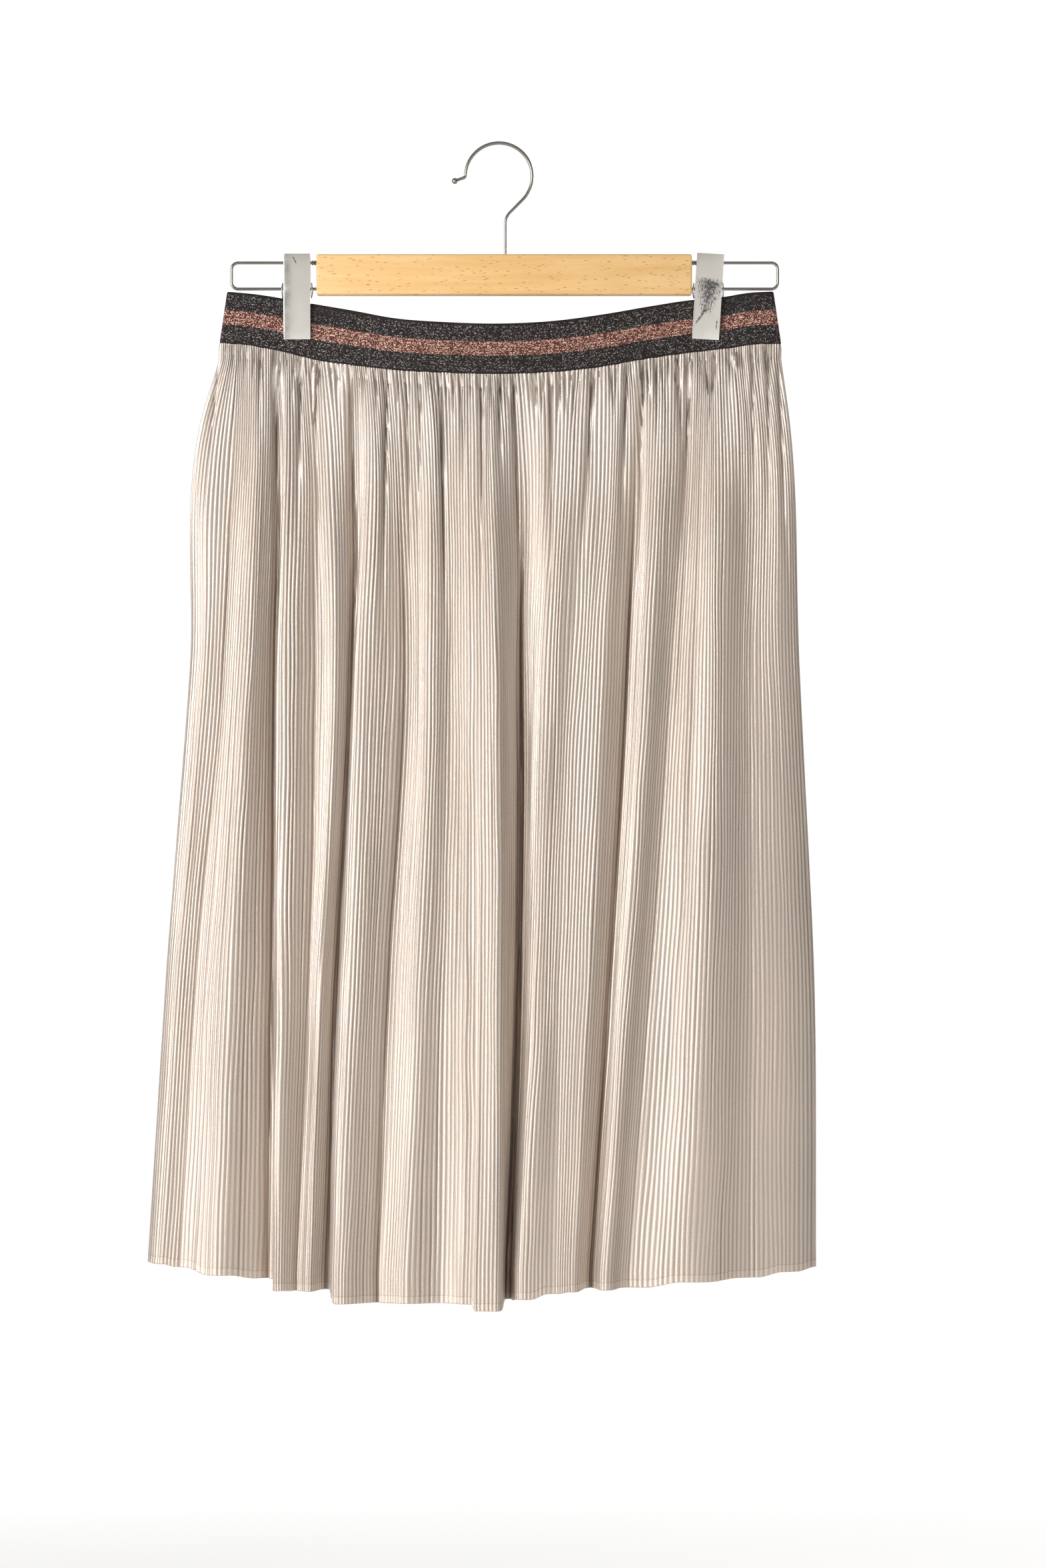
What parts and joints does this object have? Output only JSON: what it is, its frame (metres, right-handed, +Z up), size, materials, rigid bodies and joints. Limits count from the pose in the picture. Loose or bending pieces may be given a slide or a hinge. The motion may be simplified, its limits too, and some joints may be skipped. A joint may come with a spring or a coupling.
{
  "type": "midi skirt on a clip hanger",
  "caption": "Gathered pleated midi skirt with a wide elastic waistband, hanging by two clips from a wooden bar hanger with a wire hook.",
  "frame": {"origin": "inside of the hook's top, where the hanger bears on a rail", "axes": "+Z up, +X to the right seen from the front, -Y towards the front"},
  "size_m": [0.4819, 0.0939, 0.8372],
  "materials": {
    "plisse": "metallic champagne plisse jersey, soft sheen",
    "elastic": "black lurex elastic with a rose copper stripe",
    "beech": "clear satin lacquer",
    "chrome": "polished plating"
  },
  "bodies": {
    "root": {"skirt_front": "plisse", "skirt_back": "plisse", "waistband": "elastic", "hanger_bar": "beech", "hook": "chrome", "rail_left": "chrome", "rail_right": "chrome", "clip_left_front": "chrome", "clip_left_back": "chrome", "clip_left_spring": "chrome", "clip_right_front": "chrome", "clip_right_back": "chrome", "clip_right_spring": "chrome"}
  },
  "joints": []
}
